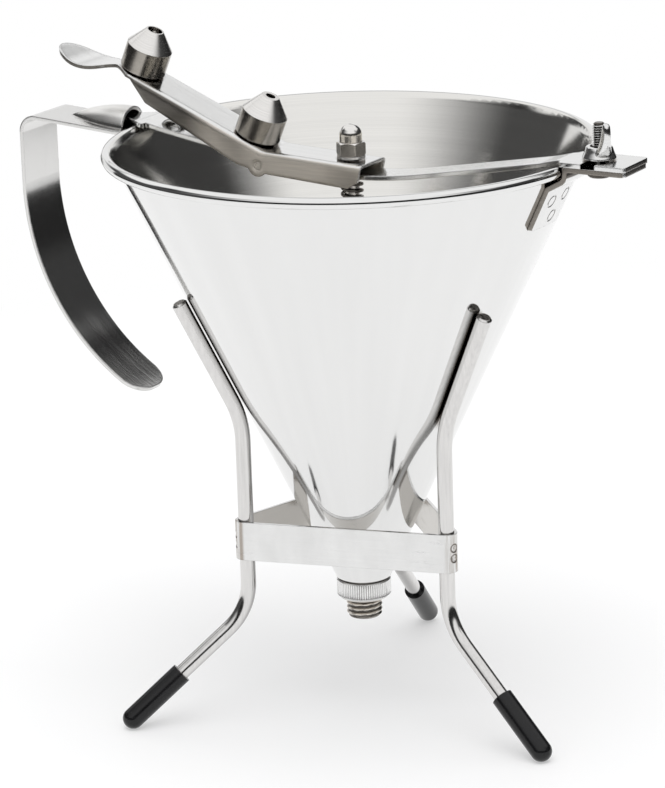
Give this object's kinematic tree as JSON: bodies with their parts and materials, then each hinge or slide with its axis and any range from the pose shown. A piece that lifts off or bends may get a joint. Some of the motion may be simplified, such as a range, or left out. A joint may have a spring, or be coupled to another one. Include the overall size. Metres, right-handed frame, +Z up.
{
  "type": "confectionery funnel with stand",
  "caption": "Conical steel dispensing funnel with a thumb lever that lifts a spring-closed valve, a strap handle, parked nozzles and a rod stand with capped feet.",
  "frame": {"origin": "point on the table under the axis of the funnel, midway between the three feet", "axes": "+Z up along the funnel's axis, +X from the handle towards the bar bracket, +Y towards the back"},
  "size_m": [0.2655, 0.1906, 0.265],
  "materials": {
    "polished_steel": "polished stainless steel",
    "brushed_steel": "brushed stainless steel",
    "spring_steel": "drawn spring wire, darker than the sheet",
    "black_vinyl": "glossy black dipped vinyl"
  },
  "bodies": {
    "stand": {"stand_leg_left": "polished_steel", "stand_leg_right": "polished_steel", "stand_leg_back": "polished_steel", "stand_band": "polished_steel", "foot_cap_left": "black_vinyl", "foot_cap_right": "black_vinyl", "foot_cap_back": "black_vinyl"},
    "funnel": {"funnel_cone": "polished_steel", "neck_ferrule": "brushed_steel", "handle": "brushed_steel", "bar_bracket": "brushed_steel", "cross_bar": "brushed_steel", "pivot_pin": "brushed_steel", "clamp_screw": "brushed_steel", "valve_spring": "spring_steel"},
    "lever_body": {"lever": "polished_steel", "nozzle_stud_upper": "brushed_steel", "nozzle_stud_lower": "brushed_steel"},
    "valve": {"valve_plug": "brushed_steel", "valve_rod": "brushed_steel", "spring_collar": "brushed_steel", "cap_washer": "polished_steel", "cap_nut": "polished_steel"},
    "wing_nut_body": {"wing_nut": "polished_steel"},
    "large_nozzle": {"nozzle_large": "polished_steel"},
    "small_nozzle": {"nozzle_small": "polished_steel"},
    "outlet": {"outlet_nipple": "polished_steel"}
  },
  "joints": [
    {"name": "funnel_lift", "type": "slide", "parent": "stand", "child": "funnel", "axis": [0, 0, 1], "range_m": [0, 0.15]},
    {"name": "lever_press", "type": "hinge", "parent": "funnel", "child": "lever_body", "pos_m": [-0.036, 0, 0.21626], "axis": [0, -1, 0], "range_deg": [0, 8], "stiffness_Nm_per_rad": 4.56, "springref_deg": -11.75},
    {"name": "valve_lift", "type": "slide", "parent": "funnel", "child": "valve", "axis": [0, 0, 1], "range_m": [0, 0.0055], "deforming": ["valve_spring"]},
    {"name": "wing_nut_turn", "type": "hinge", "parent": "funnel", "child": "wing_nut_body", "pos_m": [0.105, 0, 0.2294], "axis": [0, 0, 1], "continuous": true},
    {"name": "outlet_turn", "type": "hinge", "parent": "funnel", "child": "outlet", "pos_m": [0, 0, 0.0529], "axis": [0, 0, 1], "continuous": true},
    {"name": "large_nozzle_off", "type": "slide", "parent": "lever_body", "child": "large_nozzle", "axis": [0.3907, 0, 0.9205], "range_m": [0, 0.012]},
    {"name": "small_nozzle_off", "type": "slide", "parent": "lever_body", "child": "small_nozzle", "axis": [0.3907, 0, 0.9205], "range_m": [0, 0.012]}
  ],
  "couplings": [
    {"joint": "valve_lift", "follows": "lever_press", "m_per_rad": 0.039}
  ]
}
